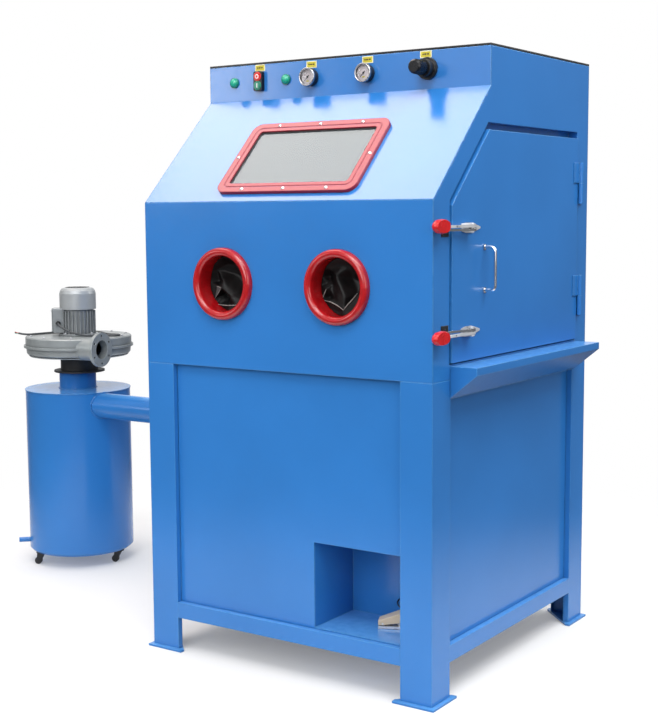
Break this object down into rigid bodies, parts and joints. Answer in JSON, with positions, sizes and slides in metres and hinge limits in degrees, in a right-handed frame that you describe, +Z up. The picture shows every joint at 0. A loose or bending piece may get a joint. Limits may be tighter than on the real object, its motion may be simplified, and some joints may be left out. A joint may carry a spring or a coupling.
{
  "type": "sandblast cabinet",
  "caption": "Free-standing blast cabinet with sloping window, glove ports, latched side loading door, foot valve and a duct to a drum dust collector.",
  "frame": {"origin": "centre of the four foot anchor holes, at floor level", "axes": "+Z up; the operator stands on the -Y side facing +Y; the side loading door is on +X and the dust collector stands on -X"},
  "size_m": [2.128, 1.0012, 1.72],
  "materials": {
    "blue_paint": "semi-gloss powder coat",
    "black_paint": "satin",
    "black_plastic": "matte",
    "black_rubber": "matte",
    "red_moulding": "gloss moulded rim",
    "red_vinyl": "dipped vinyl",
    "red_plastic": "gloss",
    "green_plastic": "gloss",
    "pale_glass": "clear",
    "chrome": "polished",
    "black_needle": "matte",
    "cast_grey": "grey paint over castings",
    "pressed_steel": "bare sheet",
    "cream_paint": "worn cream paint",
    "lamp_white": "opal",
    "brass": "turned",
    "filter_fabric": "pleated media",
    "grey_lead": "matte"
  },
  "bodies": {
    "cabinet": {"base_frame": "blue_paint", "lower_panels": "blue_paint", "pedal_niche": "blue_paint", "pedal_base": "cast_grey", "pedal_line": "black_rubber", "front_upper_panel": "blue_paint", "slope_fascia_panel": "blue_paint", "roof_panel": "black_paint", "left_side_panel": "blue_paint", "right_side_panel": "blue_paint", "rear_panel": "blue_paint", "hopper": "pressed_steel", "work_grate": "pressed_steel", "blast_gun": "cast_grey", "work_lamp": "lamp_white", "window_frame": "red_moulding", "window_seal": "black_rubber", "window_glass": "pale_glass", "window_screws": "chrome", "glove_rings": "red_moulding", "gloves": "black_rubber", "button_station": "black_plastic", "pilot_lamps": "green_plastic", "gauge_cases": "chrome", "regulator_body": "black_paint", "frame_hinge_halves": "blue_paint", "loading_ledge": "blue_paint", "latch_keepers": "black_paint", "air_inlet": "brass", "collector_drum": "blue_paint", "filter_cartridge": "filter_fabric", "dust_duct": "blue_paint", "blower_neck": "black_rubber", "blower_housing": "cast_grey", "blower_motor": "cast_grey", "motor_lead": "grey_lead"},
    "door": {"side_door": "blue_paint", "door_seal": "black_rubber", "door_handle": "chrome", "door_hinge_halves": "blue_paint", "latch_bases": "chrome"},
    "upper_lever": {"upper_latch_lever": "chrome", "upper_latch_grip": "red_vinyl"},
    "lower_lever": {"lower_latch_lever": "chrome", "lower_latch_grip": "red_vinyl"},
    "upper_hook": {"upper_latch_hook": "chrome"},
    "lower_hook": {"lower_latch_hook": "chrome"},
    "stop_button": {"stop_button": "red_plastic"},
    "start_button": {"start_button": "green_plastic"},
    "knob": {"regulator_knob": "black_plastic"},
    "left_needle": {"left_gauge_needle": "black_needle"},
    "right_needle": {"right_gauge_needle": "black_needle"},
    "treadle": {"foot_pedal": "cream_paint"},
    "impeller": {"blower_impeller": "pressed_steel"},
    "right_caster": {"right_caster_fork": "black_paint"},
    "rear_caster": {"rear_caster_fork": "black_paint"},
    "left_caster": {"left_caster_fork": "black_paint"},
    "right_wheel": {"right_caster_wheel": "black_rubber"},
    "rear_wheel": {"rear_caster_wheel": "black_rubber"},
    "left_wheel": {"left_caster_wheel": "black_rubber"}
  },
  "joints": [
    {"name": "side_door", "type": "hinge", "parent": "cabinet", "child": "door", "pos_m": [0.486, 0.401, 1.2], "axis": [0, 0, 1], "range_deg": [0, 110]},
    {"name": "upper_latch_lever", "type": "hinge", "parent": "door", "child": "upper_lever", "pos_m": [0.497, -0.31, 1.238], "axis": [0, 0, 1], "range_deg": [0, 95]},
    {"name": "upper_latch_hook", "type": "hinge", "parent": "upper_lever", "child": "upper_hook", "pos_m": [0.49856, -0.30114, 1.233], "axis": [0, 0, 1], "range_deg": [-80, 0]},
    {"name": "lower_latch_lever", "type": "hinge", "parent": "door", "child": "lower_lever", "pos_m": [0.497, -0.31, 0.97], "axis": [0, 0, 1], "range_deg": [0, 95]},
    {"name": "lower_latch_hook", "type": "hinge", "parent": "lower_lever", "child": "lower_hook", "pos_m": [0.49856, -0.30114, 0.975], "axis": [0, 0, 1], "range_deg": [-80, 0]},
    {"name": "stop_button_press", "type": "slide", "parent": "cabinet", "child": "stop_button", "axis": [0, 1, 0], "range_m": [0, 0.003], "stiffness_N_per_m": 900, "springref_m": -0.002},
    {"name": "start_button_press", "type": "slide", "parent": "cabinet", "child": "start_button", "axis": [0, 1, 0], "range_m": [0, 0.003], "stiffness_N_per_m": 900, "springref_m": -0.002},
    {"name": "regulator_knob", "type": "hinge", "parent": "cabinet", "child": "knob", "pos_m": [0.285, -0.21, 1.665], "axis": [0, 1, 0], "range_deg": [0, 1080]},
    {"name": "left_gauge_needle", "type": "hinge", "parent": "cabinet", "child": "left_needle", "pos_m": [-0.101, -0.19, 1.665], "axis": [0, 1, 0], "range_deg": [0, 270]},
    {"name": "right_gauge_needle", "type": "hinge", "parent": "cabinet", "child": "right_needle", "pos_m": [0.089, -0.19, 1.665], "axis": [0, 1, 0], "range_deg": [0, 270]},
    {"name": "treadle", "type": "hinge", "parent": "cabinet", "child": "treadle", "pos_m": [0.25327, -0.35362, 0.1645], "axis": [-0.4226, 0.9063, 0], "range_deg": [0, 8], "stiffness_Nm_per_rad": 2, "springref_deg": -11.46},
    {"name": "impeller_spin", "type": "hinge", "parent": "cabinet", "child": "impeller", "pos_m": [-1.377, 0.147, 0.8], "axis": [0, 0, 1], "continuous": true},
    {"name": "right_caster_swivel", "type": "hinge", "parent": "cabinet", "child": "right_caster", "pos_m": [-1.22199, 0.16734, 0.06], "axis": [0, 0, 1], "continuous": true},
    {"name": "right_caster_roll", "type": "hinge", "parent": "right_caster", "child": "right_wheel", "pos_m": [-1.23239, 0.16134, 0.013], "axis": [-0.5, 0.866, 0], "continuous": true},
    {"name": "rear_caster_swivel", "type": "hinge", "parent": "cabinet", "child": "rear_caster", "pos_m": [-1.48395, 0.2679, 0.06], "axis": [0, 0, 1], "continuous": true},
    {"name": "rear_caster_roll", "type": "hinge", "parent": "rear_caster", "child": "rear_wheel", "pos_m": [-1.49434, 0.2619, 0.013], "axis": [-0.5, 0.866, 0], "continuous": true},
    {"name": "left_caster_swivel", "type": "hinge", "parent": "cabinet", "child": "left_caster", "pos_m": [-1.44006, -0.00924, 0.06], "axis": [0, 0, 1], "continuous": true},
    {"name": "left_caster_roll", "type": "hinge", "parent": "left_caster", "child": "left_wheel", "pos_m": [-1.45045, -0.01524, 0.013], "axis": [-0.5, 0.866, 0], "continuous": true}
  ],
  "couplings": [
    {"joint": "upper_latch_hook", "follows": "upper_latch_lever", "ratio": -0.78},
    {"joint": "lower_latch_hook", "follows": "lower_latch_lever", "ratio": -0.78}
  ]
}
